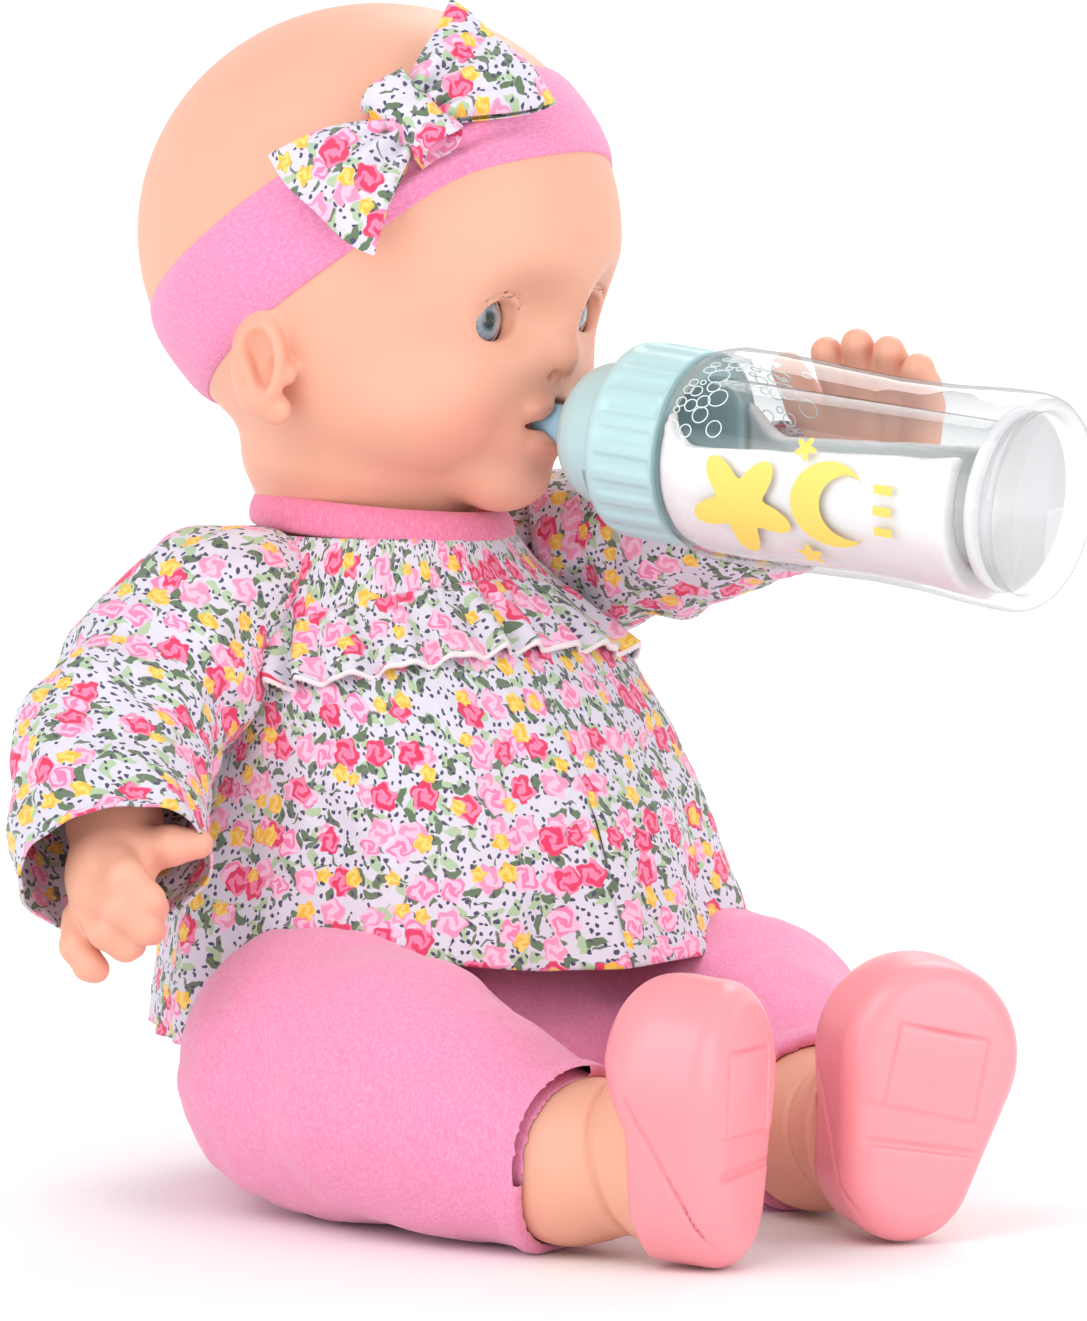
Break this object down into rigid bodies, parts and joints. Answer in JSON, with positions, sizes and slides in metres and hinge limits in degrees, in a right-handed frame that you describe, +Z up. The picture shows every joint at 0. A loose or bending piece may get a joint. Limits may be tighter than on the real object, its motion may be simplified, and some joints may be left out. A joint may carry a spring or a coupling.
{
  "type": "interactive baby doll",
  "caption": "Seated soft-bodied baby doll with turning head and limbs, closing eyes, press-button sound module, clothes, shoes, and a feeding bottle in its mouth.",
  "frame": {"origin": "on the floor, at the middle of the flat seat, below the neck", "axes": "+Z up, the doll faces -Y, its left side is +X"},
  "size_m": [0.2106, 0.2364, 0.2811],
  "materials": {
    "skin": "matt moulded vinyl",
    "eye_white": "glossy",
    "iris_blue": "glossy, blue grey",
    "lashes": "matt lid with brown lashes",
    "steel": "plain steel",
    "inner_plastic": "plain moulded plastic",
    "dark_plastic": "black",
    "circuit": "green board",
    "cells": "sleeved cells",
    "lead": "soft lead",
    "pink_knit": "heathered pink jersey",
    "floral": "small-flowered cotton jersey",
    "collar_pink": "pink rib",
    "fastener": "hook-and-loop tape",
    "stuffing": "stuffed woven cloth",
    "nylon": "nylon tie",
    "shoe_pink": "glossy coral pink",
    "teat": "translucent soft rubber",
    "aqua": "pale aqua",
    "clear": "clear",
    "milk": "white liquid",
    "white": "white",
    "button": "red button"
  },
  "bodies": {
    "torso": {"cloth_body": "stuffing", "neck_tie": "nylon", "limb_ties": "nylon", "blouse": "floral", "blouse_collar": "collar_pink", "blouse_ruffle": "floral", "blouse_fastener": "fastener", "body_flap": "stuffing", "pants_seat": "pink_knit", "module_front_case": "inner_plastic", "module_rear_case": "inner_plastic", "battery_door": "inner_plastic", "battery_door_screw": "steel", "batteries": "cells", "battery_contacts": "steel", "circuit_board": "circuit", "speaker": "dark_plastic", "module_screws": "steel", "body_lead": "lead"},
    "head": {"head_shell": "skin", "mouth_socket": "inner_plastic", "mouth_switch": "dark_plastic", "mouth_lead": "lead", "headband": "pink_knit", "bow_right_loop": "floral", "bow_left_loop": "floral", "bow_knot": "floral", "left_eye_socket": "inner_plastic", "right_eye_socket": "inner_plastic"},
    "left_eye": {"left_eyeball": "eye_white", "left_iris": "iris_blue", "left_eyelid": "lashes", "left_eye_pin": "steel", "left_eye_weight": "steel"},
    "right_eye": {"right_eyeball": "eye_white", "right_iris": "iris_blue", "right_eyelid": "lashes", "right_eye_pin": "steel", "right_eye_weight": "steel"},
    "bottle": {"bottle_teat": "teat", "bottle_cap": "aqua", "bottle_collar": "aqua", "bottle_shell": "clear", "bottle_inner": "clear", "bottle_milk": "milk", "bottle_base": "white"},
    "left_arm_body": {"left_arm": "skin", "left_sleeve": "floral"},
    "right_arm_body": {"right_arm": "skin", "right_sleeve": "floral"},
    "left_leg_body": {"left_leg": "skin", "left_thigh": "stuffing", "left_pants_leg": "pink_knit", "left_shoe": "shoe_pink"},
    "right_leg_body": {"right_leg": "skin", "right_thigh": "stuffing", "right_pants_leg": "pink_knit", "right_shoe": "shoe_pink"},
    "tummy_button_body": {"tummy_button": "button"},
    "power_switch_body": {"power_switch": "dark_plastic"}
  },
  "joints": [
    {"name": "neck_turn", "type": "hinge", "parent": "torso", "child": "head", "pos_m": [0, 0, 0.154], "axis": [0, 0, 1], "range_deg": [-75, 0]},
    {"name": "left_shoulder", "type": "hinge", "parent": "torso", "child": "left_arm_body", "pos_m": [0.055, 0, 0.143], "axis": [0.9703, 0.2419, 0], "range_deg": [-20, 25]},
    {"name": "right_shoulder", "type": "hinge", "parent": "torso", "child": "right_arm_body", "pos_m": [-0.057, 0.002, 0.138], "axis": [1, 0, 0], "range_deg": [-45, 20]},
    {"name": "left_hip", "type": "hinge", "parent": "torso", "child": "left_leg_body", "pos_m": [0.0448, -0.008, 0.034], "axis": [1, 0, 0], "range_deg": [0, 75]},
    {"name": "right_hip", "type": "hinge", "parent": "torso", "child": "right_leg_body", "pos_m": [-0.0448, -0.008, 0.034], "axis": [1, 0, 0], "range_deg": [0, 75]},
    {"name": "left_eye_blink", "type": "hinge", "parent": "head", "child": "left_eye", "pos_m": [0.03031, -0.02695, 0.2055], "axis": [0.9511, 0.309, 0], "range_deg": [0, 55]},
    {"name": "right_eye_blink", "type": "hinge", "parent": "head", "child": "right_eye", "pos_m": [-0.00868, -0.03962, 0.2055], "axis": [0.9511, 0.309, 0], "range_deg": [0, 55]},
    {"name": "bottle_pull", "type": "slide", "parent": "head", "child": "bottle", "axis": [0.2407, -0.9655, -0.0993], "range_m": [0, 0.075]},
    {"name": "tummy_press", "type": "slide", "parent": "torso", "child": "tummy_button_body", "axis": [0, 1, 0], "range_m": [0, 0.002], "stiffness_N_per_m": 600, "springref_m": -0.0005},
    {"name": "power_slide", "type": "slide", "parent": "torso", "child": "power_switch_body", "axis": [0, 1, 0], "range_m": [0, 0.005]}
  ]
}
